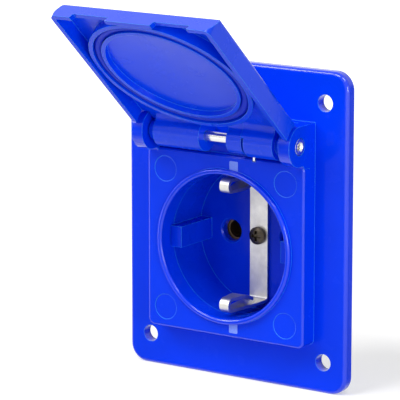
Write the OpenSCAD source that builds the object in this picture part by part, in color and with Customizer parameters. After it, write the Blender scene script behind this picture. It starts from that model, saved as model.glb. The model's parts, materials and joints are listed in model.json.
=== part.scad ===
// Panel-mounting mains socket with earth clips, hinged sprung lid and rear screw terminals.
// Frame: the origin is the middle of the flange's rear face, +Z is up, -Y points out of the
// panel towards the user, and +Y runs into the panel. All lengths are millimetres.

/* [Flange] */
// Width of the mounting flange
flange_w = 70; // [68:1:76]
// Height of the mounting flange
flange_h = 87; // [85:1:92]
// Thickness of the flange
flange_t = 3; // [2.5:0.1:4]
// Corner radius of the flange
flange_corner_r = 5; // [3:0.5:6]
// Rounding along the front edge of the flange
flange_edge_r = 1.2; // [0.6:0.1:1.6]
// Distance of the fixing holes from the sides of the raised body
hole_side = 3; // [2.8:0.1:4]
// Distance between the fixing holes up the flange
hole_pitch_z = 70; // [69:0.5:72]
// Diameter of the fixing holes
hole_d = 4.6; // [4.2:0.1:5.4]

/* [Raised body] */
// Width of the raised body at either side of the well's mouth
body_side = 5.2; // [4.9:0.1:5.6]
// How far the raised body stands out of the flange
body_rise = 5.4; // [5:0.1:6]
// Height of the raised body under the well's mouth
body_foot = 5; // [4.6:0.1:5.2]
// Height of the raised body above the well's mouth
body_head = 5.1; // [4.8:0.1:5.4]
// Corner radius of the raised body
body_corner_r = 1.8; // [1:0.1:3]
// Rounding along the front edge of the raised body
body_edge_r = 0.7; // [0.4:0.1:0.9]
// Wall thickness of the moulded body
body_wall = 2.5; // [2:0.1:3]
// Height of the shelf under the hinge, above the flange
shelf_rise = 2.85; // [2.5:0.05:3.2]

/* [Well] */
// Height of the well's middle above the middle of the flange
well_z = -5.9; // [-6.5:0.1:-5.5]
// Inner diameter of the well
well_d = 39.6; // [39.2:0.1:40]
// Depth of the well behind the face of the raised body
well_depth = 17.7; // [17:0.1:19]
// How far the sealing lip stands out of the raised body
lip_rise = 1.3; // [1:0.1:1.6]
// Thickness of the sealing lip
lip_t = 1.5; // [1.4:0.1:1.7]
// Depth of the joint between body and insert, behind the face of the raised body
joint_depth = 4.4; // [4:0.1:5]
// Wall thickness of the insert's cup
cup_wall = 1.7; // [1.4:0.1:1.9]
// Thickness of the insert's floor
cup_floor = 2.5; // [2:0.1:3]
// Half width of the guide ribs at either side of the well
rib_half_w = 2.9; // [2.5:0.1:3.2]
// How far the guide ribs stand into the well
rib_rise = 2.8; // [2.5:0.1:3]
// Distance between the two live pin holes
pin_pitch = 19; // [18.8:0.1:19.2]
// Diameter of the live pin holes
pin_hole_d = 6; // [5.6:0.1:6.4]
// Chamfer at the mouth of the live pin holes
pin_chamfer = 0.5; // [0.3:0.1:0.8]

/* [Insert fixing] */
// How far the insert screws sit inside the well's width and height
boss_inset = 0.6; // [0.4:0.1:0.8]
// Diameter of the screw bosses behind the raised body
boss_d = 7; // [6.6:0.1:7.4]
// Depth of the faint sink mark in front of each boss
sink_mark = 0.12; // [0.05:0.01:0.2]
// Distance from the insert screws to the edges of the insert's square rear plate
plate_edge = 4; // [3.8:0.1:4.2]
// Thickness of the insert's rear plate
insert_plate_t = 2.5; // [2:0.1:3]
// Shank diameter of the insert screws
insert_screw_d = 2.9; // [2.5:0.1:3]
// Head diameter of the insert screws
insert_head_d = 5.4; // [5:0.1:5.6]
// Head height of the insert screws
insert_head_h = 2; // [1.6:0.1:2.2]
// Length of the insert screws under the head
insert_screw_l = 7; // [6:0.1:7.4]

/* [Earth strap] */
// Width of the earth strap on the floor of the well
strap_w = 5.7; // [5.4:0.1:6]
// Sheet thickness of the earth strap
strap_t = 0.9; // [0.7:0.05:1]
// Width of the sprung noses
nose_w = 2.9; // [2.6:0.1:3.4]
// Gap between the strap's arms and the well's wall
strap_gap = 1.4; // [1.2:0.1:1.6]
// Outer radius of the folded noses
nose_r = 2; // [1.9:0.05:2.1]
// How far the noses stand out of the raised body's face (negative is inside)
nose_rise = 0.3; // [0:0.1:0.6]
// Length of the inner leg behind the nose
nose_leg = 8.5; // [8:0.1:9.5]
// Inner bend radius of the strap
strap_bend_r = 0.6; // [0.5:0.05:0.8]
// Head diameter of the middle screw
centre_head_d = 4.8; // [4.6:0.1:5.2]
// Head height of the middle screw
centre_head_h = 1.6; // [1.4:0.1:1.8]
// Thread diameter of the middle screw
centre_screw_d = 3.4; // [3.2:0.1:3.6]
// Length of the middle screw under the head
centre_screw_l = 12; // [11:0.1:13]

/* [Contact carrier] */
// Outer diameter of the contact carrier
carrier_d = 39; // [38.5:0.1:39.5]
// Width of the contact carrier over its side flats
carrier_w = 31; // [30.6:0.1:34]
// Depth of the contact carrier behind the insert
carrier_depth = 14; // [13.8:0.1:15]
// Thickness of the carrier's rear wall
carrier_rear_t = 2; // [1.8:0.1:2.5]
// Thickness of the carrier's web under the earth terminal
carrier_web_t = 2; // [1.8:0.1:2.4]
// Width of the terminal chambers
chamber_w = 7.8; // [7.6:0.1:8]
// Width of the brass terminals
terminal_w = 7.2; // [6.8:0.1:7.4]
// Depth of the brass terminals along the socket's axis
terminal_depth = 7.5; // [7:0.1:7.8]
// Height of the brass terminals
terminal_h = 7.4; // [7.2:0.1:7.6]
// Distance from the middle of the well down to the clamping screws
terminal_drop = 9; // [8.8:0.1:9.2]
// Diameter of the wire holes in the terminals
wire_hole_d = 3.2; // [2.8:0.1:3.4]
// Diameter of the clamping screws
clamp_screw_d = 3.4; // [3:0.1:3.6]
// Length of the clamping screws
clamp_screw_l = 6; // [5.6:0.1:6.4]
// Inner diameter of the live contact sleeves
sleeve_d = 4.9; // [4.8:0.05:5]
// Sheet thickness of the live contacts
contact_t = 0.7; // [0.6:0.05:0.8]
// Length of the live contact sleeves
sleeve_l = 11; // [10:0.1:12]

/* [Hinge and lid] */
// Height of the hinge axis above the top edge of the raised body
hinge_lift = 5.2; // [5.1:0.1:5.6]
// How far the hinge axis stands out of the raised body's face
hinge_out = 2.1; // [2:0.05:2.2]
// Outer radius of the hinge ears
ear_r = 5.4; // [5.2:0.1:5.6]
// Thickness of the hinge ears
ear_t = 3.4; // [3.2:0.1:3.6]
// Diameter of the hinge pin
pin_d = 3; // [2.8:0.1:3.1]
// Diameter of the hinge pin's heads
pin_head_d = 4.4; // [4.2:0.1:4.6]
// Depth of the hinge pin's heads in the ears
pin_head_t = 0.9; // [0.7:0.1:1]
// Radius of the lid's hinge barrels
barrel_r = 4.2; // [4.1:0.05:4.3]
// Radius of the slim barrel beside the spring housing
slim_barrel_r = 3.7; // [3.5:0.05:3.9]
// Width of the slim barrel
slim_barrel_w = 4.7; // [4.5:0.1:5]
// Width of the open notch in the middle of the hinge
hinge_notch_w = 8.4; // [8:0.1:8.8]
// Angle at which the lid stands open against its heel
lid_open = 132; // [130:1:134]
// How far the raised body stands out at either side of the closed lid
lid_side_step = 0.5; // [0.3:0.05:0.6]
// How far the closed lid hangs below the raised body
lid_overhang = 0.3; // [0.1:0.1:0.6]
// Thickness of the lid's front wall
lid_wall = 2.2; // [1.9:0.1:2.4]
// Thickness of the lid's skirt
skirt_t = 1.3; // [1.2:0.1:1.4]
// Corner radius of the lid
lid_corner_r = 2; // [1.8:0.1:2.6]
// Rounding around the lid's front edge
lid_edge_r = 1.3; // [1:0.1:1.5]
// Lean of the lid's free edge, from square
edge_lean = 29; // [26:1:31]
// Gap between the closed lid's rim and the raised body
rim_gap = 0.3; // [0.2:0.05:0.4]
// Width of the two vent notches in the lid's free edge
edge_notch_w = 11; // [9:0.5:12]
// Depth of the two vent notches in the lid's free edge
edge_notch_depth = 1.7; // [1:0.1:2.2]
// Distance of the vent notches from the lid's middle line
edge_notch_x = 12.5; // [12:0.1:13]
// Depth of the hollow in the middle of the lid
dish_depth = 1.3; // [1:0.1:1.4]

/* [Lid spring] */
// Wire diameter of the lid spring
wire_d = 0.7; // [0.6:0.05:0.8]
// Number of turns of the lid spring
spring_turns = 7; // [5:1:8]
// Length of the spring's leg in the lid
lid_leg = 5.2; // [4.6:0.1:5.3]
// Angle at which the spring's leg leaves the coil towards the lid
lid_leg_angle = 170; // [168:1:172]

/* [Seals] */
// Width of the panel gasket
gasket_w = 2.4; // [2:0.1:2.6]
// Depth of the panel gasket's groove
gasket_t = 1.2; // [0.8:0.1:1.4]
// Thickness of the insert's seal
insert_seal_t = 0.9; // [0.7:0.1:1.2]
// Gap left between the closed lid's seal and the sealing lip
seal_gap = 0.15; // [0.1:0.05:0.3]

/* [Hidden] */
$fn = 72;
eps = 0.01;
fit_gap = 0.1;       // gap between pieces that are pushed together
running_gap = 0.05;  // radial gap of the lid on its pin

// Planes along Y
face_y = -flange_t - body_rise;
joint_y = face_y + joint_depth;
floor_y = face_y + well_depth;
cup_back_y = floor_y + cup_floor;

// The well and its walls
well_r = well_d / 2;
rib_gap = well_d - 2 * rib_rise;
strap_reach = well_r - strap_gap;
boss_offset = well_r - boss_inset;
insert_plate_w = 2 * (boss_offset + plate_edge);
cup_r = well_r + cup_wall;
collar_in_r = cup_r + 2 * fit_gap;
collar_r = collar_in_r + body_wall;
lip_r = well_r + lip_t;
lip_mid_r = well_r + lip_t / 2;
strap_front_y = floor_y - strap_t;

// Raised body and the places that follow from it
body_w = well_d + 2 * body_side;
body_below = well_r + body_foot;
body_above = well_r + body_head;
hole_pitch_x = body_w + 2 * hole_side;
hinge_rise = body_above + hinge_lift;
body_z0 = well_z - body_below;
body_z1 = well_z + body_above;
hinge_z = well_z + hinge_rise;
hinge_y = face_y - hinge_out;
ear_top_z = hinge_z + ear_r;
ear_x = body_w / 2 - ear_t;
ear_blend_r = 1;

// Lid, in its own frame: the hinge axis is the origin, +y is the inner side, -z the free edge
lid_w = body_w - 2 * lid_side_step;
lid_reach = hinge_rise + body_below + lid_overhang;
ear_gap = 0.7;
lid_side_gap = 0.4;
lid_neck_w = 2 * (ear_x - lid_side_gap);
lid_front_y = -barrel_r;
lid_inner_y = lid_front_y + lid_wall;
lid_rim_y = hinge_out - rim_gap;
lid_depth = lid_rim_y - lid_front_y;
lip_crest_y = hinge_out - lip_rise;
heel_gap = 0.04;
shelf_reach = body_rise - shelf_rise + hinge_out;
heel_z = (shelf_reach - heel_gap + barrel_r * cos(lid_open)) / sin(lid_open);
ring_gap = 0.35;
outer_ring_in_r = lip_r + ring_gap;
outer_ring_r = outer_ring_in_r + 1.2;
inner_ring_r = well_r - ring_gap - fit_gap;
inner_ring_in_r = inner_ring_r - 1.1;
ring_crest_y = lip_crest_y + 0.3;
dish_edge_y = lid_inner_y + dish_depth;
dish_r = (inner_ring_in_r * inner_ring_in_r + dish_depth * dish_depth) / (2 * dish_depth);
seal_face_y = lip_crest_y - seal_gap;
seal_seat_y = seal_face_y - 1.5;

// Hinge barrels along X
barrel_x0 = hinge_notch_w / 2;
barrel_x1 = ear_x - 2.7;
spring_x0 = barrel_x0 + slim_barrel_w;
spring_x1 = barrel_x1 - 0.9;
spring_room_r = barrel_r - 1;
spring_mid_r = pin_d / 2 + 0.25 + wire_d / 2;
leg_slot_w = wire_d + 0.3;
leg_x0 = spring_x0 + leg_slot_w / 2;
leg_x1 = spring_x1 - leg_slot_w / 2 - fit_gap;
seat_z = body_z1 - 0.8;
shoulder_r = pin_d / 2 + 1.2;

// Carrier and terminals
carrier_back_y = cup_back_y + carrier_depth;
terminal_y0 = carrier_back_y - carrier_rear_t - 1 - terminal_depth;
terminal_mid_y = terminal_y0 + terminal_depth / 2;
chamber_bottom = terminal_drop + terminal_h / 2 + 0.4;
sleeve_r = sleeve_d / 2 + contact_t;
sleeve_y0 = cup_back_y + 0.4;

// Extrudes its 2D children forwards, towards -Y, from the plane y
module forward(y, t) {
    translate([0, y, 0]) rotate([90, 0, 0]) linear_extrude(t) children();
}

// A cylinder along Y between two planes
module rod_y(y0, y1, d, x = 0, z = 0) {
    translate([x, y1, z]) rotate([90, 0, 0]) cylinder(d = d, h = y1 - y0);
}

// A cylinder along X between two planes
module rod_x(x0, x1, r) {
    translate([x0, 0, 0]) rotate([0, 90, 0]) cylinder(r = r, h = x1 - x0);
}

// A rectangle with round corners, about its middle
module round_rect(w, h, r) {
    square([w - 2 * r, h], center = true);
    square([w, h - 2 * r], center = true);
    for (sx = [-1, 1], sy = [-1, 1]) translate([sx * (w / 2 - r), sy * (h / 2 - r)]) circle(r);
}

// Section of a plate of width w and height t, with its two top edges rounded by e
module soft_section(w, t, e) {
    translate([-w / 2, 0]) square([w, t - e]);
    translate([e - w / 2, 0]) square([w - 2 * e, t]);
    for (s = [-1, 1]) translate([s * (w / 2 - e), t - e]) circle(e);
}

// A plate of w by h that rises t along +Z, with round corners r and its top edge rounded by e
module soft_plate(w, h, t, r, e) {
    rotate([90, 0, 0]) linear_extrude(h - 2 * r, center = true) soft_section(w, t, e);
    rotate([90, 0, 90]) linear_extrude(w - 2 * r, center = true) soft_section(h, t, e);
    for (sx = [-1, 1], sy = [-1, 1])
        translate([sx * (w / 2 - r), sy * (h / 2 - r), 0]) rotate_extrude() intersection() {
            soft_section(2 * r, t, e);
            square([r, t]);
        }
}

// Places its children at the four fixing holes
module at_holes() {
    for (sx = [-1, 1], sz = [-1, 1])
        translate([sx * hole_pitch_x / 2, 0, sz * hole_pitch_z / 2]) children();
}

// Places its children at one insert screw, numbered 0 to 3
module at_boss(i) {
    sx = (i % 2) * 2 - 1;
    sz = floor(i / 2) * 2 - 1;
    translate([sx * boss_offset, 0, well_z + sz * boss_offset]) children();
}

// The outline of the panel gasket's groove, inside the fixing holes
module gasket_ring(w) {
    x = hole_pitch_x - 2;
    z = hole_pitch_z - 2;
    r = 9;
    difference() {
        round_rect(x + w, z + w, r + w / 2);
        round_rect(x - w, z - w, r - w / 2);
    }
}

// ---------------------------------------------------------------- moulded body

// Side outline of one hinge ear, drawn with y to the right and z up, about the hinge axis
module ear_outline() {
    foot_y = hinge_out;
    blend_y = foot_y - ear_blend_r;
    blend_z = -sqrt(pow(ear_r + ear_blend_r, 2) - blend_y * blend_y);
    root_y = flange_t + body_rise + hinge_out;
    circle(ear_r);
    difference() {
        translate([0, blend_z]) square([root_y, ear_r - blend_z]);
        translate([blend_y, blend_z]) circle(ear_blend_r);
        translate([-eps, blend_z - eps]) square([blend_y, ear_blend_r]);
    }
}

module ears() {
    for (s = [-1, 1])
        translate([s * (body_w / 2 - ear_t / 2) - ear_t / 2, hinge_y, hinge_z])
            rotate([90, 0, 90]) linear_extrude(ear_t) ear_outline();
}

module housing_outside() {
    body_h = body_above + body_below;
    rotate([90, 0, 0])
        soft_plate(flange_w, flange_h, flange_t, flange_corner_r, flange_edge_r);
    translate([0, 0, (body_z0 + body_z1) / 2]) rotate([90, 0, 0])
        soft_plate(body_w, body_h, flange_t + body_rise, body_corner_r, body_edge_r);
    // shelf under the hinge, with its two ears
    shelf_h = ear_top_z - body_z1 + body_corner_r;
    translate([0, 0, ear_top_z - shelf_h / 2])
        forward(0, flange_t + shelf_rise) square([body_w - eps, shelf_h], center = true);
    ears();
    // sealing lip round the mouth of the well
    lip_h = lip_rise - lip_t / 2;
    translate([0, 0, well_z]) rotate([90, 0, 0]) {
        translate([0, 0, -face_y - 1]) linear_extrude(1 + lip_h) circle(lip_r);
        translate([0, 0, -face_y + lip_h]) rotate_extrude() translate([lip_mid_r, 0]) circle(lip_t / 2);
    }
}

// Everything that is hollow behind the face of the raised body
module housing_hollow() {
    inner_w = body_w - 2 * body_wall;
    inner_h = body_above + body_below - 2 * body_wall;
    difference() {
        translate([0, 0, (body_z0 + body_z1) / 2])
            forward(eps, -face_y - body_wall + eps) round_rect(inner_w, inner_h, 1);
        rod_y(face_y, -insert_seal_t, 2 * collar_r, 0, well_z);
        for (i = [0:3]) at_boss(i) rod_y(face_y, 0, boss_d);
    }
}

module housing() color("royalblue") difference() {
    housing_outside();
    housing_hollow();
    // well mouth, then the wider seat of the insert
    rod_y(face_y - lip_rise - 1, joint_y + 1, well_d, 0, well_z);
    rod_y(joint_y, eps, 2 * collar_in_r, 0, well_z);
    rod_y(-insert_seal_t, eps, 2 * collar_r, 0, well_z);
    at_holes() rod_y(-flange_t - 1, 1, hole_d);
    for (i = [0:3]) at_boss(i) {
        rod_y(-insert_screw_l + insert_plate_t - 0.5, eps, insert_screw_d + fit_gap);
        rod_y(face_y - 1, face_y + sink_mark, boss_d);
    }
    forward(eps, gasket_t + eps) gasket_ring(gasket_w + 2 * fit_gap);
    // hinge pin hole and the counterbores for its heads
    translate([0, hinge_y, hinge_z]) {
        rod_x(-body_w / 2 - 1, body_w / 2 + 1, pin_d / 2 + 0.03);
        for (s = [-1, 1])
            translate([s * body_w / 2, 0, 0]) rotate([0, 90, 0])
                cylinder(d = pin_head_d + 0.3, h = 2 * pin_head_t, center = true);
    }
    // small seat for the spring's leg in the body's top edge
    translate([spring_x0, face_y - 1, seat_z])
        cube([leg_slot_w, hinge_y + spring_mid_r + leg_slot_w / 2 - face_y + 1, 2]);
}

module panel_gasket() color("dimgray") forward(0, gasket_t) gasket_ring(gasket_w);

// ---------------------------------------------------------------- socket insert

module guide_ribs() {
    lead = 1.5;
    for (s = [-1, 1]) {
        intersection() {
            translate([s * (well_r + rib_gap / 2) / 2, 0, well_z])
                forward(floor_y + eps, floor_y - joint_y)
                    square([well_r - rib_gap / 2 + 2, 2 * rib_half_w], center = true);
            rod_y(joint_y, floor_y + eps, 2 * well_r + 1, 0, well_z);
        }
        intersection() {
            translate([s * (well_r + rib_gap / 2) / 2, 0, well_z])
                forward(joint_y + eps, lead)
                    square([well_r - rib_gap / 2 + 2, 2 * rib_half_w], center = true);
            rod_y(joint_y - lead, joint_y + eps, well_d - 2 * fit_gap, 0, well_z);
        }
    }
}

module socket_insert() color("royalblue") difference() {
    union() {
        difference() {
            union() {
                rod_y(joint_y + 0.05, cup_back_y, 2 * cup_r, 0, well_z);
                translate([0, 0, well_z]) forward(insert_plate_t, insert_plate_t)
                    round_rect(insert_plate_w, insert_plate_w, 4);
            }
            rod_y(joint_y - 1, floor_y, well_d, 0, well_z);
        }
        guide_ribs();
    }
    for (s = [-1, 1]) {
        rod_y(floor_y - 1, cup_back_y + 1, pin_hole_d, s * pin_pitch / 2, well_z);
        translate([s * pin_pitch / 2, floor_y - eps, well_z]) rotate([-90, 0, 0])
            cylinder(d1 = pin_hole_d + 2 * pin_chamfer, d2 = pin_hole_d, h = pin_chamfer);
        // groove in the wall that gives each sprung arm room to flex
        translate([0, 0, well_z + s * (well_r + 0.2)]) forward(floor_y, floor_y - joint_y - 3)
            square([strap_w + 0.8, 1.6], center = true);
    }
    rod_y(floor_y - 1, cup_back_y + 1, centre_screw_d + 4 * fit_gap, 0, well_z);
    for (i = [0:3]) at_boss(i) rod_y(-1, insert_plate_t + 1, insert_screw_d + 4 * fit_gap);
}

module insert_seal() color("dimgray") difference() {
    rod_y(-insert_seal_t, 0, 2 * collar_r - 2 * fit_gap, 0, well_z);
    rod_y(-insert_seal_t - 1, 1, 2 * collar_in_r, 0, well_z);
    for (i = [0:3]) at_boss(i) rod_y(-insert_seal_t - 1, 1, boss_d + 2 * fit_gap);
}

// A pan head with a cross recess; the head grows along +Z from the origin, the shank along -Z
module cross_screw(head_d, head_h, shank_d, length) {
    recess_w = head_d * 0.17;
    difference() {
        union() {
            intersection() {
                cylinder(d = head_d, h = head_h);
                translate([0, 0, head_h - head_d * 1.1]) sphere(r = head_d * 1.1);
            }
            translate([0, 0, -length]) cylinder(d = shank_d, h = length + eps);
        }
        for (a = [0, 90]) rotate([0, 0, a])
            translate([-head_d * 0.3, -recess_w / 2, head_h * 0.4])
                cube([head_d * 0.6, recess_w, head_h]);
    }
}

module insert_screw(i) color("silver")
    at_boss(i) translate([0, insert_plate_t, 0]) rotate([-90, 0, 0])
        cross_screw(insert_head_d, insert_head_h, insert_screw_d, insert_screw_l);

// ---------------------------------------------------------------- earth strap

// Half of the strap from the side: x runs outwards from the middle, y runs forwards from the floor
module strap_outline() {
    nose_y = floor_y - face_y + nose_rise;
    arm_x0 = strap_reach - strap_t;
    bend_out = strap_bend_r + strap_t;
    arm_top = nose_y - nose_r;
    square([strap_reach - bend_out, strap_t]);
    // bend from the floor into the arm
    translate([strap_reach - bend_out, bend_out]) intersection() {
        difference() {
            circle(bend_out);
            circle(strap_bend_r);
        }
        translate([0, -bend_out]) square([bend_out, bend_out]);
    }
    translate([arm_x0, bend_out]) square([strap_t, arm_top - bend_out]);
    // folded nose
    translate([strap_reach - nose_r, arm_top]) intersection() {
        difference() {
            circle(nose_r);
            circle(nose_r - strap_t);
        }
        translate([-nose_r, 0]) square([2 * nose_r, nose_r]);
    }
    // inner leg: straight, then curving back towards the arm
    leg_x = strap_reach - 2 * nose_r;
    curl_r = nose_leg * 1.2;
    translate([leg_x, arm_top - nose_leg * 0.45]) square([strap_t, nose_leg * 0.45 + eps]);
    translate([leg_x + curl_r, arm_top - nose_leg * 0.45]) intersection() {
        difference() {
            circle(curl_r);
            circle(curl_r - strap_t);
        }
        translate([-curl_r, -nose_leg * 0.55]) square([curl_r, nose_leg * 0.55 + eps]);
    }
}

module half_strap() intersection() {
    translate([-strap_w / 2, 0, 0]) rotate([180, -90, 0]) linear_extrude(strap_w) strap_outline();
    strap_taper();
}

module earth_strap() color("silver") translate([0, floor_y, well_z]) difference() {
    union() {
        half_strap();
        mirror([0, 0, 1]) half_strap();
    }
    rod_y(-strap_t - 1, 1, centre_screw_d + 2 * fit_gap);
}

// Narrows the arms from the full strap width at the floor to the nose width at the front
module strap_taper() {
    nose_y = floor_y - face_y + nose_rise;
    wide = strap_w / 2;
    slim = nose_w / 2;
    translate([0, 0, -1]) linear_extrude(strap_reach + 2)
        polygon([
            [-wide, 1], [-wide, -nose_y * 0.35], [-slim, -nose_y * 0.85], [-slim, -nose_y - 1],
            [slim, -nose_y - 1], [slim, -nose_y * 0.85], [wide, -nose_y * 0.35], [wide, 1]
        ]);
}

module centre_screw() color("darkgoldenrod")
    translate([0, strap_front_y, well_z]) rotate([90, 0, 0])
        cross_screw(centre_head_d, centre_head_h, centre_screw_d, centre_screw_l);

// ---------------------------------------------------------------- contact carrier

// One terminal chamber, from the plane y0 to y1, about the column x
module chamber(x, y0, y1) {
    top = chamber_w / 2 + 0.2;
    translate([x - chamber_w / 2, y0, well_z - chamber_bottom])
        cube([chamber_w, y1 - y0, chamber_bottom + top]);
}

module contact_carrier() color("ghostwhite") difference() {
    intersection() {
        rod_y(cup_back_y, carrier_back_y, carrier_d, 0, well_z);
        translate([0, 0, well_z]) forward(carrier_back_y + 1, carrier_depth + 2)
            square([carrier_w, carrier_d + 1], center = true);
    }
    for (s = [-1, 1]) {
        chamber(s * pin_pitch / 2, cup_back_y - 1, carrier_back_y - carrier_rear_t);
        rod_y(carrier_back_y - carrier_rear_t - 1, carrier_back_y + 1, clamp_screw_d + 1.2,
            s * pin_pitch / 2, well_z - terminal_drop);
    }
    chamber(0, cup_back_y + carrier_web_t, carrier_back_y + 1);
    rod_y(cup_back_y - 1, cup_back_y + carrier_web_t + 1, centre_screw_d + 4 * fit_gap, 0, well_z);
    // wire entries from below
    for (x = [-pin_pitch / 2, 0, pin_pitch / 2])
        translate([x, terminal_mid_y, well_z - carrier_d / 2 - 1])
            cylinder(d = wire_hole_d + 1.4, h = carrier_d / 2 - chamber_bottom + 2);
}

// The wire hole and the threaded clamp hole that every terminal has
module terminal_holes(x) {
    translate([x, terminal_mid_y, well_z - terminal_drop - terminal_h])
        cylinder(d = wire_hole_d, h = 1.5 * terminal_h + 1);
    rod_y(terminal_mid_y, terminal_y0 + terminal_depth + 1, clamp_screw_d + fit_gap,
        x, well_z - terminal_drop);
}

module live_terminal(x) color("goldenrod") difference() {
    translate([x - terminal_w / 2, terminal_y0, well_z - terminal_drop - terminal_h / 2])
        cube([terminal_w, terminal_depth, terminal_h]);
    terminal_holes(x);
}

module earth_terminal() color("goldenrod") difference() {
    y0 = cup_back_y + carrier_web_t;
    foot = terminal_drop + terminal_h / 2;
    translate([-terminal_w / 2, y0, well_z - foot])
        cube([terminal_w, terminal_y0 + terminal_depth - y0, foot + terminal_w / 2]);
    terminal_holes(0);
    rod_y(y0 - 1, strap_front_y + centre_screw_l + 0.6, centre_screw_d + fit_gap, 0, well_z);
}

// A live contact: a split sleeve for the pin, with a tongue down to its terminal
module live_contact(x) color("peru") difference() {
    union() {
        rod_y(sleeve_y0, sleeve_y0 + sleeve_l, 2 * sleeve_r, x, well_z);
        translate([x - 2.4, terminal_y0 - contact_t, well_z - terminal_drop - terminal_h / 2])
            cube([4.8, contact_t, terminal_drop + terminal_h / 2 - sleeve_d / 2]);
    }
    rod_y(sleeve_y0 - 1, sleeve_y0 + sleeve_l + 1, sleeve_d, x, well_z);
    translate([x - 0.4, sleeve_y0 - 1, well_z]) cube([0.8, sleeve_l + 2, sleeve_r + 1]);
}

// A slotted grub screw in a terminal
module clamp_screw(x) color("silver") {
    tip_y = terminal_mid_y + wire_hole_d / 2 - 1.2;
    difference() {
        rod_y(tip_y, tip_y + clamp_screw_l, clamp_screw_d, x, well_z - terminal_drop);
        translate([x - clamp_screw_d, tip_y + clamp_screw_l - 1, well_z - terminal_drop - 0.35])
            cube([2 * clamp_screw_d, 2, 0.7]);
    }
}

// ---------------------------------------------------------------- hinge

module hinge_pin() color("silver") translate([0, hinge_y, hinge_z]) difference() {
    union() {
        rod_x(-body_w / 2, body_w / 2, pin_d / 2);
        for (s = [-1, 1])
            translate([s * (body_w / 2 - pin_head_t / 2), 0, 0]) rotate([0, 90, 0])
                cylinder(d = pin_head_d, h = pin_head_t, center = true);
    }
    // the right end is drilled hollow and spread
    rod_x(body_w / 2 - 1.6, body_w / 2 + 1, pin_d * 0.3);
    translate([body_w / 2 - 0.5, 0, 0]) rotate([0, 90, 0])
        cylinder(d1 = pin_d * 0.6, d2 = pin_d * 0.6 + 1.2, h = 0.6);
}

// A point of the spring's coil, a share t of the way from its first leg to its last
function coil_point(t) = let (a = t * (360 * spring_turns + lid_leg_angle - lid_open)) [
    leg_x0 + t * (leg_x1 - leg_x0), spring_mid_r * cos(a), spring_mid_r * sin(a)
];

// The way the wire runs at the angle a of the coil
function tangent(a) = [0, -sin(a), cos(a)];

// Joins rings of points into one closed tube
module tube(points, r, sides) {
    n = len(points);
    function ahead(i) = points[min(i + 1, n - 1)] - points[max(i - 1, 0)];
    function side(i) = cross(ahead(i), [0, points[i][1], points[i][2]]);
    function unit(v) = v / norm(v);
    rings = [for (i = [0:n - 1]) let (
        u = unit(side(i)),
        w = unit(cross(u, ahead(i)))
    ) for (k = [0:sides - 1]) points[i] + r * (cos(360 * k / sides) * u + sin(360 * k / sides) * w)];
    walls = [for (i = [0:n - 2], k = [0:sides - 1]) [
        i * sides + k, i * sides + (k + 1) % sides,
        (i + 1) * sides + (k + 1) % sides, (i + 1) * sides + k
    ]];
    polyhedron(rings, concat(
        [[for (k = [sides - 1:-1:0]) k]],
        walls,
        [[for (k = [0:sides - 1]) (n - 1) * sides + k]]
    ));
}

module lid_spring() color("silver") translate([0, hinge_y, hinge_z]) {
    steps = 16 * spring_turns;
    seat_leg = hinge_z - seat_z - 0.3;
    coil = [for (i = [0:steps]) coil_point(i / steps)];
    tube(concat(
        [coil[0] - tangent(0) * seat_leg], coil,
        [coil[steps] + tangent(lid_leg_angle - lid_open) * lid_leg]
    ), wire_d / 2, 8);
}

// ---------------------------------------------------------------- lid

// Turns the lid's own frame to where it stands open
module at_hinge() {
    translate([0, hinge_y, hinge_z]) rotate([-lid_open, 0, 0]) children();
}

// Section of the hinge neck: x is the inner side, y runs towards the free edge
module neck_outline(r) {
    fillet_r = 2;
    fillet_x = lid_inner_y + fillet_r;
    fillet_y = sqrt(pow(r + fillet_r, 2) - fillet_x * fillet_x);
    circle(r);
    translate([lid_front_y, -heel_z]) square([lid_wall, heel_z + fillet_y]);
    difference() {
        translate([lid_front_y, 0]) square([fillet_x - lid_front_y, fillet_y]);
        translate([fillet_x, fillet_y]) circle(fillet_r);
    }
}

module neck(x0, x1, r) {
    translate([x0, 0, 0]) rotate([90, 0, 90]) linear_extrude(x1 - x0)
        mirror([0, 1]) neck_outline(r);
}

// Height of the leaning free edge at the depth y
function edge_z(y) = (lid_rim_y - y) * tan(edge_lean) - lid_reach;

// Extrudes its 2D children, drawn with y to the right and z up, across the lid
module across_lid() {
    rotate([90, 0, 90]) linear_extrude(2 * lid_w, center = true) children();
}

// Everything beyond the leaning free edge, moved inwards by inset
module beyond_edge(inset) {
    y0 = 2 * lid_front_y;
    y1 = 2 * lid_rim_y;
    across_lid() polygon([
        [y0, edge_z(y0) + inset], [y1, edge_z(y1) + inset], [y1, -2 * lid_reach], [y0, -2 * lid_reach]
    ]);
}

// What is cut away to round the corner between the lid's front and its free edge
module edge_corner() {
    tip_z = edge_z(lid_front_y);
    mid_y = lid_front_y + lid_edge_r;
    mid_z = tip_z + lid_edge_r * (1 - sin(edge_lean)) / cos(edge_lean);
    across_lid() difference() {
        polygon([
            [lid_front_y, mid_z], [lid_front_y - 1, mid_z], [lid_front_y - 1, tip_z - 1],
            [mid_y - lid_edge_r * sin(edge_lean), mid_z - lid_edge_r * cos(edge_lean)]
        ]);
        translate([mid_y, mid_z]) circle(lid_edge_r);
    }
}

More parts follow.
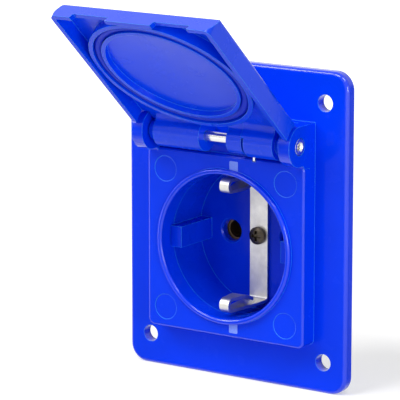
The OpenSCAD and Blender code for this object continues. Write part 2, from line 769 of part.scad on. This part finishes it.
// Front wall and skirt, with a rounded front edge; the end above the heel is cut square
module lid_shell() {
    pocket_w = lid_w - 2 * skirt_t;
    over = 2 * lid_corner_r;
    shell_h = lid_reach + heel_z + over;
    pocket_h = shell_h - skirt_t + over;
    difference() {
        translate([0, lid_rim_y, heel_z + over - shell_h / 2]) rotate([90, 0, 0])
            soft_plate(lid_w, shell_h, lid_depth, lid_corner_r, lid_edge_r);
        difference() {
            translate([0, 0, skirt_t - lid_reach + pocket_h / 2])
                forward(lid_rim_y + 1, lid_rim_y - lid_inner_y + 1)
                    round_rect(pocket_w, pocket_h, lid_corner_r - skirt_t);
            beyond_edge(skirt_t / cos(edge_lean));
        }
        translate([-lid_w, -lid_depth, heel_z]) cube([2 * lid_w, 3 * lid_depth, 2 * over]);
    }
}

// A ring round the middle of the closed lid's well
module ring(r_out, r_in, y0, y1) {
    translate([0, 0, -hinge_rise]) difference() {
        rod_y(y0, y1, 2 * r_out);
        rod_y(y0 - 1, y1 + 1, 2 * r_in);
    }
}

// The two rings that hold the seal, and the hollowed disc inside them
module lid_rings() {
    root_y = lid_inner_y - lid_wall / 2;
    intersection() {
        union() {
            ring(outer_ring_r, outer_ring_in_r, root_y, ring_crest_y);
            ring(outer_ring_r - 0.5, inner_ring_in_r + 0.5, root_y, seal_seat_y);
            ring(inner_ring_r, inner_ring_in_r, root_y, ring_crest_y - 0.2);
        }
        translate([0, 0, -hinge_rise]) cube([lid_w - skirt_t, 4 * lid_depth, lid_w], center = true);
    }
    translate([0, dish_edge_y, -hinge_rise]) rotate([90, 0, 0]) difference() {
        cylinder(r = inner_ring_in_r + 0.5, h = dish_edge_y - root_y);
        rotate_extrude($fn = 144) intersection() {
            translate([0, dish_depth - dish_r]) circle(dish_r, $fn = 1440);
            translate([0, -1]) square([inner_ring_in_r, dish_depth + 2]);
        }
    }
}

module lid() color("royalblue") at_hinge() difference() {
    union() {
        lid_shell();
        neck(-barrel_x1, -barrel_x0, barrel_r);
        neck(barrel_x0, spring_x0, slim_barrel_r);
        neck(spring_x0, barrel_x1, barrel_r);
        // shoulders that run against the ears
        rod_x(-lid_neck_w / 2, lid_neck_w / 2, shoulder_r);
        lid_rings();
    }
    beyond_edge(0);
    edge_corner();
    // running hole for the pin and room for the spring
    rod_x(-lid_w, lid_w, pin_d / 2 + running_gap);
    rod_x(spring_x0, spring_x1, spring_room_r);
    // slot that the spring's first leg sweeps as the lid turns, and the blind hole of its last leg
    translate([spring_x0, -wire_d / 2, 0]) cube([leg_slot_w, 2 * barrel_r, barrel_r + 1]);
    translate([spring_x0, spring_mid_r - wire_d, -barrel_r - 1])
        cube([leg_slot_w, barrel_r, 2 * barrel_r]);
    translate([leg_x1, 0, 0]) rotate([lid_leg_angle, 0, 0]) translate([0, spring_mid_r, -0.5])
        cylinder(d = leg_slot_w, h = lid_leg + 0.7);
    // open notch over the middle of the pin
    translate([-barrel_x0, -2 * barrel_r, -barrel_r - 0.6])
        cube([2 * barrel_x0, 4 * barrel_r, 3 * barrel_r]);
    // vent notches in the free edge
    notch_y = lid_rim_y - edge_notch_depth;
    notch_z = edge_z(notch_y) + skirt_t / cos(edge_lean) + fit_gap;
    for (s = [-1, 1])
        translate([s * edge_notch_x - edge_notch_w / 2, notch_y, -lid_reach - 1])
            cube([edge_notch_w, edge_notch_depth + 1, notch_z + lid_reach + 1]);
    // the sides stay clear of the ears
    for (s = [-1, 1]) translate([s * (lid_neck_w / 2 + lid_w), 0, 0])
        rod_x(-lid_w, lid_w, ear_r + ear_gap);
}

module lid_seal() color("midnightblue") at_hinge() translate([0, 0, -hinge_rise])
    translate([0, seal_seat_y, 0]) rotate([-90, 0, 0]) rotate_extrude() {
        r0 = inner_ring_r + fit_gap;
        r1 = outer_ring_in_r - fit_gap;
        h = seal_face_y - seal_seat_y;
        polygon([[r0, 0], [r1, 0], [r1, h - 0.5], [lip_mid_r + 0.4, h], [lip_mid_r - 0.4, h], [r0, h - 0.5]]);
    }

housing();
socket_insert();
insert_seal();
panel_gasket();
insert_screw(0);  // insert_screw_1
insert_screw(1);  // insert_screw_2
insert_screw(2);  // insert_screw_3
insert_screw(3);  // insert_screw_4
earth_strap();
centre_screw();
contact_carrier();
earth_terminal();
live_contact(-pin_pitch / 2);  // line_contact
live_contact(pin_pitch / 2);  // neutral_contact
live_terminal(-pin_pitch / 2);  // line_terminal
live_terminal(pin_pitch / 2);  // neutral_terminal
clamp_screw(-pin_pitch / 2);  // line_clamp_screw
clamp_screw(pin_pitch / 2);  // neutral_clamp_screw
clamp_screw(0);  // earth_clamp_screw
hinge_pin();
lid_spring();
lid();
lid_seal();
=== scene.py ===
# %% [markdown]
# A panel-mounting mains socket: a blue moulded body with a round well, two sprung earth clips,
# and a flap lid that stands open on its hinge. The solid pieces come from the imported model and
# keep their places and shapes. This script gives every piece its finish, models the small
# pieces that are too fine for the solids, and sets up the studio.

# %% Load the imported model
import json
import math

import bmesh
import bpy
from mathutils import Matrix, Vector


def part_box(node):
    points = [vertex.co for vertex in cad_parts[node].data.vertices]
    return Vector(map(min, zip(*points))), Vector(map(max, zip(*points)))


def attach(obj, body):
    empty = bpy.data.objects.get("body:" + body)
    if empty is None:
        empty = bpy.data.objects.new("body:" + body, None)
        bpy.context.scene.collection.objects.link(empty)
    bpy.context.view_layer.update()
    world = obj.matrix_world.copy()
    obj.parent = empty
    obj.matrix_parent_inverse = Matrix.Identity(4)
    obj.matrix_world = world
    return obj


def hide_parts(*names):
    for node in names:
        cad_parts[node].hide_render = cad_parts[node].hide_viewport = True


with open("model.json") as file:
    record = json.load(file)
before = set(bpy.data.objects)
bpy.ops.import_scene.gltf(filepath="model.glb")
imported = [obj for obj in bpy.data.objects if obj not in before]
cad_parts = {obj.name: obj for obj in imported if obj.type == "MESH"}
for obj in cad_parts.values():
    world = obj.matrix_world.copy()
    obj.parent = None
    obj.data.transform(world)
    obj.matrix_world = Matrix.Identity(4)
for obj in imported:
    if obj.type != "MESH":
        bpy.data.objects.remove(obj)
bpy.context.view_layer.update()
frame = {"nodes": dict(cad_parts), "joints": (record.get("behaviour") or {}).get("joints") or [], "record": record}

nodes = frame["nodes"]
record = frame["record"]
print("pieces in the model:", len(nodes))

# %% [markdown]
# The model is in metres, while a drawing of such a socket is in millimetres. The middle of the
# well, the hinge axis and the main planes come from the record's own mounts and joint, so that
# nothing here has to be fitted by eye.

# %% Places taken from the model
MM = 0.001
mounts = {mount["name"]: mount for mount in record["mounts"]}
hinge = Vector(frame["joints"][0]["pos_m"])
well_z = mounts["line_pin_bore"]["pos_m"][2]
HINGE_BEFORE_FACE = 2.1 * MM
face_y = hinge.y + HINGE_BEFORE_FACE
floor_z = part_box("housing")[0].z
print("well middle %.1f mm, face plane %.1f mm, floor %.1f mm"
      % (well_z / MM, face_y / MM, floor_z / MM))

# %% [markdown]
# The camera stands to the right of the socket and a little above it, three quarters of a metre
# away with a long lens, which keeps the lines of a small object nearly parallel.

# %% Camera
VIEW_AZIMUTH = math.radians(34.28)
VIEW_PITCH = math.radians(11.87)
SENSOR_WIDTH_MM = 36
FOCAL_LENGTH_MM = 256.7
camera_place = Vector((414.1, -627.5, 163.4)) * MM
camera_data = bpy.data.cameras.new("camera")
camera_data.sensor_width = SENSOR_WIDTH_MM
camera_data.lens = FOCAL_LENGTH_MM
camera_data.clip_start = 0.1
camera_data.clip_end = 20
camera = bpy.data.objects.new("camera", camera_data)
camera.location = camera_place
camera.rotation_euler = (math.pi / 2 - VIEW_PITCH, 0, VIEW_AZIMUTH)
bpy.context.scene.collection.objects.link(camera)
bpy.context.scene.camera = camera
print("camera is %.2f m from the socket" % camera_place.length)


# %% [markdown]
# Shader maths is easier to read as Python than as a list of links. This small class wraps one
# value of a material's node tree: its operators add Math nodes, and `node` adds any other node.

# %% A class for shader maths
class Shade:
    """One value inside a material's node tree."""

    def __init__(self, tree, out=None):
        self.tree = tree
        self.out = out

    def node(self, kind, settings=None, inputs=None, output=0):
        """Adds a node, sets its settings first and then its inputs, and returns one output."""
        made = self.tree.nodes.new(kind)
        for name, value in (settings or {}).items():
            setattr(made, name, value)
        for key, value in (inputs or {}).items():
            if isinstance(value, Shade):
                self.tree.links.new(value.out, made.inputs[key])
            else:
                made.inputs[key].default_value = value
        return Shade(self.tree, made.outputs[output])

    def maths(self, operation, *values):
        return self.node("ShaderNodeMath", {"operation": operation}, dict(enumerate(values)))

    def __add__(self, other): return self.maths("ADD", self, other)
    def __radd__(self, other): return self.maths("ADD", other, self)
    def __sub__(self, other): return self.maths("SUBTRACT", self, other)
    def __rsub__(self, other): return self.maths("SUBTRACT", other, self)
    def __mul__(self, other): return self.maths("MULTIPLY", self, other)
    def __rmul__(self, other): return self.maths("MULTIPLY", other, self)

    def clipped(self, low, high):
        """Goes from 0 at low to 1 at high, and stays between them."""
        return self.node("ShaderNodeMapRange", {"clamp": True}, {0: self, 1: low, 2: high})

    def colour(self, first, second):
        """Mixes two colours by this value."""
        pair = {6: first if isinstance(first, Shade) else (*first, 1),
                7: second if isinstance(second, Shade) else (*second, 1)}
        return self.node("ShaderNodeMix", {"data_type": "RGBA"}, {0: self, **pair}, 2)


# %% [markdown]
# Every finish starts from the same few ideas. Object coordinates tie a pattern to the piece, so
# it stays put when the lid turns. Noise at a scale of tens of millimetres gives the slow change
# of colour that a moulding has, and noise finer than a millimetre gives its grain. A Bevel node
# rounds the normals near an edge, because a real edge is never quite sharp, and the difference
# between rounded and true normals says where the edges are. The surface's direction says which
# places are curved: a flat face of a moulding looks along one of its own three directions.

# %% Helpers for every finish
EDGE_RADIUS = 0.28 * MM


def noise(at, size, detail=2.0, roughness=0.5, stretch=(1, 1, 1)):
    """Noise whose lumps are about `size` metres across, drawn out along an axis by `stretch`."""
    placed = at.node("ShaderNodeMapping", {"vector_type": "POINT"},
                     {"Vector": at, "Scale": tuple(part / size for part in stretch)})
    return at.node("ShaderNodeTexNoise", {}, {"Vector": placed, "Scale": 1.0,
                                              "Detail": detail, "Roughness": roughness})


def start_material(name, colour, **constants):
    """A new material with its main shader, and the Object coordinates to build patterns on."""
    material = bpy.data.materials.new(name)
    material.use_nodes = True
    tree = material.node_tree
    shader = tree.nodes["Principled BSDF"]
    shader.inputs["Base Color"].default_value = (*colour, 1)
    for socket, value in constants.items():
        shader.inputs[socket.replace("_", " ")].default_value = value
    at = Shade(tree).node("ShaderNodeTexCoord", output=3)
    return material, shader, at


def feed(shader, socket, value):
    """Links a value that changes over the surface to the main shader."""
    value.tree.links.new(value.out, shader.inputs[socket])


def edges(at, radius):
    """The rounded normal, and a mask that is 1 on the edges."""
    rounded = at.node("ShaderNodeBevel", {"samples": 6}, {"Radius": radius})
    true_normal = at.node("ShaderNodeNewGeometry", output=1)
    likeness = at.node("ShaderNodeVectorMath", {"operation": "DOT_PRODUCT"},
                       {0: rounded, 1: true_normal}, 1)
    return rounded, (1 - likeness).clipped(0.02, 0.25)


def rounded_places(at, turn):
    """A mask that is 1 where the surface is curved. `turn` is how far the piece stands open."""
    normal = at.node("ShaderNodeTexCoord", output="Normal")
    own = at.node("ShaderNodeVectorRotate", {"rotation_type": "X_AXIS"},
                  {"Vector": normal, "Angle": turn})
    sizes = at.node("ShaderNodeVectorMath", {"operation": "ABSOLUTE"}, {0: own})
    x, y, z = (at.node("ShaderNodeSeparateXYZ", {}, {0: sizes}, i) for i in range(3))
    return (1 - x.maths("MAXIMUM", x.maths("MAXIMUM", x, y), z)).clipped(0.01, 0.1)


def bump(height, normal, depth):
    """A bump of the given depth in metres, on top of a normal."""
    return height.node("ShaderNodeBump", {}, {"Height": height, "Normal": normal,
                                              "Distance": depth, "Strength": 1.0})


# %% [markdown]
# The housing, the insert and the lid are moulded in the same glossy blue plastic. The tool's
# spark-eroded skin leaves a very fine grain, and handling leaves slightly duller patches. Edges,
# curved places and ledges are rubbed to a clear polish, so they catch the light. The thin pale
# lines along the edges are also a painted highlight, a pale blue mixed into the base colour.
# `gloss` is the roughness of the skin, `shine` its reflection, and `polish` the clear coat.

# %% Blue moulded plastic
GRAIN_DEPTH = 0.006 * MM


def moulded_plastic(name, colour, gloss, shine, polish, turn=0.0):
    material, shader, at = start_material(name, colour, Specular_IOR_Level=shine,
                                          Coat_Roughness=0.10)
    rounded, edge = edges(at, EDGE_RADIUS)
    curved = rounded_places(at, turn)
    normal = at.node("ShaderNodeTexCoord", output="Normal")
    upward = at.node("ShaderNodeSeparateXYZ", {}, {0: normal}, 2).clipped(0.6, 0.95)
    drift = noise(at, 26 * MM, 3).clipped(0.3, 0.7)
    deeper = tuple(part * 0.86 for part in colour)
    body = drift.colour(deeper, colour)
    # Painted highlight: the base colour turns pale blue along the edges.
    feed(shader, "Base Color", (edge * 0.9).colour(body, EDGE_HIGHLIGHT_BLUE))
    patches = noise(at, 7 * MM, 4, 0.6).clipped(0.35, 0.75)
    feed(shader, "Roughness", gloss + patches * 0.09 - edge * 0.05)
    feed(shader, "Coat Weight", (0.06 + (curved + edge + upward) * polish).clipped(0, 1))
    skin = noise(at, 0.28 * MM, 2) * 0.7 + noise(at, 1.6 * MM, 1) * 0.3
    feed(shader, "Normal", bump(skin, rounded, GRAIN_DEPTH))
    return material


BLUE = (0.0003, 0.044, 0.86)
# The lid's blue is a lighter, greener copy of the body's: painted light for the lid's inside.
LIT_LID_BLUE = (0.0003, 0.058, 0.90)
# The insert's blue is darker than the body's: a painted shade for the well.
SHADED_WELL_BLUE = (0.0003, 0.036, 0.72)
# The pale blue of the painted highlight along the edges.
EDGE_HIGHLIGHT_BLUE = (0.04, 0.36, 0.98)
LID_OPEN = math.radians(132)
housing_blue = moulded_plastic("housing_blue", BLUE, 0.22, 0.05, 1.0)
lid_blue = moulded_plastic("lid_blue", LIT_LID_BLUE, 0.22, 0.14, 0.2, LID_OPEN)
insert_blue = moulded_plastic("insert_blue", SHADED_WELL_BLUE, 0.24, 0.05, 0.1)
print("blue plastics:", housing_blue.name, lid_blue.name, insert_blue.name)


# %% [markdown]
# The carrier behind the well holds live parts, so it is a heat-proof pale grey moulding, matt
# and a little mottled by its filler.

# %% Pale carrier plastic
def filled_plastic():
    material, shader, at = start_material("carrier_grey", (0.62, 0.62, 0.59),
                                          Specular_IOR_Level=0.35)
    rounded, edge = edges(at, EDGE_RADIUS)
    mottle = noise(at, 1.3 * MM, 4, 0.65).clipped(0.35, 0.65)
    body = mottle.colour((0.56, 0.56, 0.53), (0.68, 0.68, 0.65))
    # Painted highlight: the base colour turns paler along the edges.
    feed(shader, "Base Color", (edge * 0.4).colour(body, (0.8, 0.8, 0.78)))
    feed(shader, "Roughness", 0.52 + mottle * 0.12)
    feed(shader, "Normal", bump(noise(at, 0.35 * MM, 3), rounded, 0.012 * MM))
    return material


carrier_grey = filled_plastic()
print("carrier plastic:", carrier_grey.name)


# %% [markdown]
# The seals are soft rubber: nearly black at the back, and tinted blue in the lid so that it does
# not stand out. Rubber is matt, dusty in patches, and has a slightly uneven skin.

# %% Rubber
def rubber(name, colour, dust):
    material, shader, at = start_material(name, colour, Specular_IOR_Level=0.25)
    rounded, edge = edges(at, EDGE_RADIUS)
    dusty = noise(at, 5 * MM, 5, 0.7).clipped(0.5, 0.8)
    feed(shader, "Base Color", (dusty * 0.25 + edge * 0.15).colour(colour, dust))
    feed(shader, "Roughness", 0.55 + dusty * 0.2)
    feed(shader, "Normal", bump(noise(at, 0.5 * MM, 3), rounded, 0.01 * MM))
    return material


seal_black = rubber("seal_black", (0.018, 0.018, 0.022), (0.09, 0.09, 0.1))
lid_seal_blue = rubber("lid_seal_blue", (0.001, 0.022, 0.55), (0.006, 0.04, 0.62))
print("rubbers:", seal_black.name, lid_seal_blue.name)


# %% [markdown]
# Metal needs no colour of its own so much as the right roughness. Rolled strip shows fine lines
# along its length, drawn wire and pins show them along their axis, and a zinc coat is slightly
# cloudy. `lines` draws the noise out along chosen axes to make these marks.

# %% Metals
METAL_EDGE_RADIUS = 0.12 * MM
MARK_SIZE = 0.12 * MM
MARK_DEPTH = 0.004 * MM


def metal(name, colour, tint, gloss, lines=(1, 1, 1), cloud=4 * MM):
    material, shader, at = start_material(name, colour, Metallic=1.0)
    rounded, edge = edges(at, METAL_EDGE_RADIUS)
    clouds = noise(at, cloud, 4, 0.6).clipped(0.3, 0.75)
    marks = noise(at, MARK_SIZE, 3, 0.6, lines)
    shade = clouds.colour(colour, tint)
    # Painted highlight: the base colour turns brighter along the edges.
    edge_highlight = tuple(min(1.0, part * 1.25) for part in colour)
    feed(shader, "Base Color", (edge * 0.5).colour(shade, edge_highlight))
    feed(shader, "Roughness", gloss + clouds * 0.08 + (marks - 0.5) * 0.16)
    feed(shader, "Normal", bump(marks, rounded, MARK_DEPTH))
    return material


nickel = metal("nickel_strip", (0.66, 0.65, 0.61), (0.46, 0.45, 0.43), 0.38, (1, 0.03, 0.03))
pin_steel = metal("pin_steel", (0.76, 0.75, 0.72), (0.66, 0.65, 0.63), 0.18, (0.04, 1, 1))
spring_steel = metal("spring_steel", (0.72, 0.72, 0.72), (0.5, 0.5, 0.5), 0.25)
zinc = metal("zinc_steel", (0.62, 0.63, 0.66), (0.50, 0.52, 0.56), 0.34, cloud=1.5 * MM)
# The contacts' brass is a darker copy of the terminals' brass: a painted shade for contacts deep in the well.
contact_brass = metal("contact_brass", (0.30, 0.20, 0.10), (0.20, 0.13, 0.07), 0.4, (1, 0.05, 1))
milled_brass = metal("milled_brass", (0.78, 0.57, 0.25), (0.68, 0.47, 0.19), 0.26, (0.06, 1, 1))
bronze = metal("bronze_screw", (0.085, 0.070, 0.052), (0.04, 0.033, 0.025), 0.34, cloud=0.9 * MM)
print("metals from", nickel.name, "to", bronze.name)

# %% [markdown]
# Each solid takes one of these finishes. The pieces that are alike share theirs, and the screws
# that aren't named here are zinc-plated.

# %% Finish of every solid
FINISH = {
    "housing": housing_blue, "lid": lid_blue, "socket_insert": insert_blue,
    "contact_carrier": carrier_grey, "insert_seal": seal_black, "panel_gasket": seal_black,
    "lid_seal": lid_seal_blue, "earth_strap": nickel, "hinge_pin": pin_steel,
    "lid_spring": spring_steel, "centre_screw": bronze,
    "line_contact": contact_brass, "neutral_contact": contact_brass,
    "line_terminal": milled_brass, "neutral_terminal": milled_brass,
    "earth_terminal": milled_brass,
    "line_clamp_screw": zinc, "neutral_clamp_screw": zinc, "earth_clamp_screw": zinc,
}
for name, piece in nodes.items():
    finish = FINISH.get(name, zinc)
    if not piece.material_slots:
        piece.data.materials.append(finish)
    for material_slot in piece.material_slots:
        material_slot.material = finish
print("finished solids:", len(nodes))

# %% [markdown]
# Wire that follows a path is a natural job for Geometry Nodes: the tree below takes any line of
# points, gives it a round section, closes its two ends and makes it smooth. The same tree then
# serves for every piece of wire. A finished piece is a plain mesh, so the modifier's result is
# copied into a new mesh and the modifier goes.

# %% Wire by Geometry Nodes
def wire_tree(material):
    tree = bpy.data.node_groups.new("wire", "GeometryNodeTree")
    tree.interface.new_socket("Path", in_out="INPUT", socket_type="NodeSocketGeometry")
    tree.interface.new_socket("Wire Radius", in_out="INPUT", socket_type="NodeSocketFloat")
    tree.interface.new_socket("Sides", in_out="INPUT", socket_type="NodeSocketInt")
    tree.interface.new_socket("Wire", in_out="OUTPUT", socket_type="NodeSocketGeometry")
    start = Shade(tree)
    given = tree.nodes.new("NodeGroupInput")
    path, radius, sides = (Shade(tree, given.outputs[i]) for i in range(3))
    line = start.node("GeometryNodeMeshToCurve", {}, {"Mesh": path})
    section = start.node("GeometryNodeCurvePrimitiveCircle", {},
                         {"Resolution": sides, "Radius": radius})
    tube = start.node("GeometryNodeCurveToMesh", {},
                      {"Curve": line, "Profile Curve": section, "Fill Caps": True})
    smooth = start.node("GeometryNodeSetShadeSmooth", {}, {"Geometry": tube})
    real = start.node("GeometryNodeRealizeInstances", {}, {"Geometry": smooth})
    made = start.node("GeometryNodeSetMaterial", {}, {"Geometry": real, "Material": material})
    end = tree.nodes.new("NodeGroupOutput")
    tree.links.new(made.out, end.inputs[0])
    return tree


def finished(name, mesh, tree=None, **values):
    """A plain mesh object at the origin: `mesh`, or what a node tree makes of it."""
    piece = bpy.data.objects.new(name, mesh)
    bpy.context.scene.collection.objects.link(piece)
    if tree:
        modifier = piece.modifiers.new("nodes", "NODES")
        modifier.node_group = tree
        for item in tree.interface.items_tree:
            if item.in_out == "INPUT" and item.name in values:
                modifier[item.identifier] = values[item.name]
        ready = piece.evaluated_get(bpy.context.evaluated_depsgraph_get())
        result = bpy.data.meshes.new_from_object(ready)
        piece.modifiers.remove(modifier)
        piece.data = result
    print(name, "has", len(piece.data.polygons), "faces")
    return piece


# %% [markdown]
# The lid's spring is a torsion spring. Its coil sits round the pin inside the right-hand barrel,
# one straight leg runs down into a notch in the body's top edge, and the other runs into a hole
# in the lid. The coil and the first leg stay with the body. The leg in the lid turns with the
# lid, so it is a piece of its own, which meets the coil inside the barrel.

# %% Lid spring
spring_low, spring_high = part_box("lid_spring")
WIRE_RADIUS = 0.35 * MM
WIRE_SIDES = 16
COIL_RADIUS = 2.1 * MM
COIL_TURNS = 7
STEPS_A_TURN = 36
LEG_STEPS = 4
LID_LEG_ANGLE = math.radians(170)
LID_LEG = 5.2 * MM
coil_end = 2 * math.pi * COIL_TURNS + LID_LEG_ANGLE - LID_OPEN
coil_x0, coil_x1 = spring_low.x + WIRE_RADIUS, spring_high.x - WIRE_RADIUS


def coil_point(share):
    """A point of the coil, from its first end at 0 to its last end at 1."""
    angle = share * coil_end
    return Vector((coil_x0 + share * (coil_x1 - coil_x0),
                   hinge.y + COIL_RADIUS * math.cos(angle),
                   hinge.z + COIL_RADIUS * math.sin(angle)))


def path_mesh(name, points):
    """A mesh of edges alone, which runs through the points."""
    mesh = bpy.data.meshes.new(name)
    mesh.from_pydata(points, [(i, i + 1) for i in range(len(points) - 1)], [])
    return mesh


spring_wire = wire_tree(spring_steel)
wire_sizes = {"Wire Radius": WIRE_RADIUS, "Sides": WIRE_SIDES}
coil_steps = STEPS_A_TURN * COIL_TURNS
coil = [coil_point(i / coil_steps) for i in range(coil_steps + 1)]
seat_tip = Vector((coil[0].x, coil[0].y, spring_low.z))
spring_coil = finished("spring_coil", path_mesh("spring_coil", [seat_tip] + coil), spring_wire,
                       **wire_sizes)
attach(spring_coil, "root")
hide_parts("lid_spring")
way = Vector((0, -math.sin(coil_end), math.cos(coil_end)))
leg_points = [coil[-1] + way * LID_LEG * i / LEG_STEPS for i in range(LEG_STEPS + 1)]
spring_leg = finished("spring_leg", path_mesh("spring_leg", leg_points), spring_wire,
                      **wire_sizes)
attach(spring_leg, "flap")

# %% [markdown]
# Two small pale squares sit on the face, one above the well and one under it. They are a painted
# highlight, standing for small faces there that catch the light. Each is a very thin pale blue
# plate with softened corners, standing slightly off the face.

# %% Pale patches, a painted highlight
# A pale blue, painted as a highlight on two small squares of the face.
def highlight_patch_finish():
    material, shader, at = start_material("pale_ink", (0.22, 0.33, 0.93),
                                          Specular_IOR_Level=0.1)
    patchiness = noise(at, 0.5 * MM, 4, 0.7).clipped(0.35, 0.7)
    feed(shader, "Base Color", patchiness.colour((0.24, 0.35, 0.93), (0.14, 0.24, 0.90)))
    feed(shader, "Roughness", 0.4 + patchiness * 0.15)
    return material


pale_ink = highlight_patch_finish()
PATCH_X = 2.9 * MM
PATCH_HALF = 1.35 * MM
PATCH_CORNER = 0.3 * MM
PATCH_OFFSET = 22.2 * MM
CORNER_STEPS = 4
PATCH_THICKNESS = 0.04 * MM
PATCH_BEDDING = 0.01 * MM


def patch(name, middle_x, middle_z):
    straight = PATCH_HALF - PATCH_CORNER
    outline = []
    for quarter, (sx, sz) in enumerate([(1, 1), (-1, 1), (-1, -1), (1, -1)]):
        for step in range(CORNER_STEPS + 1):
            angle = math.pi / 2 * (quarter + step / CORNER_STEPS)
            outline.append((middle_x + sx * straight + PATCH_CORNER * math.cos(angle),
                            middle_z + sz * straight + PATCH_CORNER * math.sin(angle)))
    shape = bmesh.new()
    ring = [shape.verts.new((x, face_y + PATCH_BEDDING, z)) for x, z in outline]
    base = shape.faces.new(ring)
    grown = bmesh.ops.extrude_face_region(shape, geom=[base])
    moved = [item for item in grown["geom"] if isinstance(item, bmesh.types.BMVert)]
    bmesh.ops.translate(shape, verts=moved, vec=(0, -PATCH_THICKNESS, 0))
    bmesh.ops.recalc_face_normals(shape, faces=shape.faces)
    mesh = bpy.data.meshes.new(name)
    shape.to_mesh(mesh)
    shape.free()
    mesh.materials.append(pale_ink)
    piece = finished(name, mesh)
    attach(piece, "root")
    return piece


patch("printed_patch_top", PATCH_X, well_z + PATCH_OFFSET)
patch("printed_patch_low", PATCH_X, well_z - PATCH_OFFSET)

# %% [markdown]
# The socket stands on a pale floor. A floor lit only by the lamps would look grey, and more light
# would wash out the blue, so camera, glossy and transmission rays see it a little brighter than
# it is lit, and whiter still far away, where it meets the white surround. The shadow stays.

# %% Floor
FLOOR_REACH = 6
FLOOR_COLOUR = (0.72, 0.72, 0.72)
FLOOR_LIFT_NEAR = 0.48
FLOOR_LIFT_FAR = 0.7


def shown(start):
    """Is 1 for rays that show the studio, and 0 for those that light the socket."""
    camera_ray, glossy_ray, through_ray = (
        start.node("ShaderNodeLightPath", output=name)
        for name in ("Is Camera Ray", "Is Glossy Ray", "Is Transmission Ray"))
    return (camera_ray + glossy_ray + through_ray).clipped(0, 1)


def studio_floor():
    mesh = bpy.data.meshes.new("studio_floor")
    corners = [(-1, -1), (1, -1), (1, 1), (-1, 1)]
    mesh.from_pydata([(x * FLOOR_REACH, y * FLOOR_REACH, floor_z) for x, y in corners],
                     [], [(0, 1, 2, 3)])
    floor = bpy.data.objects.new("studio_floor", mesh)
    bpy.context.scene.collection.objects.link(floor)
    material, shader, at = start_material("floor_white", FLOOR_COLOUR, Roughness=0.9,
                                          Specular_IOR_Level=0.1)
    shader.inputs["Emission Color"].default_value = (1, 1, 1, 1)
    away = at.node("ShaderNodeVectorMath", {"operation": "LENGTH"}, {0: at}, 1)
    lift = FLOOR_LIFT_NEAR + FLOOR_LIFT_FAR * away.clipped(0.15, 0.7)
    feed(shader, "Emission Strength", shown(at) * lift)
    mesh.materials.append(material)
    return floor


print("floor:", studio_floor().name)

# %% [markdown]
# The surround is white for the same three kinds of ray, and dim as a light. The light itself
# comes from five soft lamps at a plain level, so that a colour looks as it is written: two from
# the right, where they pick out the right-hand edges, two from the front, and one from the left.

# %% Surround and lamps
SURROUND_LIGHT = 0.08


def surround():
    world = bpy.data.worlds.new("surround")
    world.use_nodes = True
    tree = world.node_tree
    start = Shade(tree)
    strength = shown(start) * (1 - SURROUND_LIGHT) + SURROUND_LIGHT
    tree.links.new(strength.out, tree.nodes["Background"].inputs["Strength"])
    tree.nodes["Background"].inputs["Color"].default_value = (1, 1, 1, 1)
    bpy.context.scene.world = world


def lamp(name, place, side, power):
    """A soft square lamp at `place`, aimed at the middle of the well."""
    data = bpy.data.lights.new(name, "AREA")
    data.shape = "RECTANGLE"
    data.size = data.size_y = side
    data.energy = power
    lamp_object = bpy.data.objects.new(name, data)
    lamp_object.location = place
    way_in = Vector((0, 0, well_z)) - Vector(place)
    lamp_object.rotation_euler = way_in.to_track_quat("-Z", "Y").to_euler()
    bpy.context.scene.collection.objects.link(lamp_object)
    print("%s gives %.1f W" % (name, power))


surround()
lamp("right_low_box", (0.86, -0.50, 0.14), 0.36, 3.4)
lamp("right_high_box", (0.50, -0.29, 0.82), 0.36, 3.5)
lamp("left_box", (-0.62, -0.44, 0.65), 0.40, 4.6)
lamp("front_high_box", (-0.14, -0.56, 0.82), 0.36, 3.5)
lamp("front_box", (-0.29, -0.80, 0.53), 0.36, 1.7)
bpy.context.scene.view_settings.view_transform = "Standard"
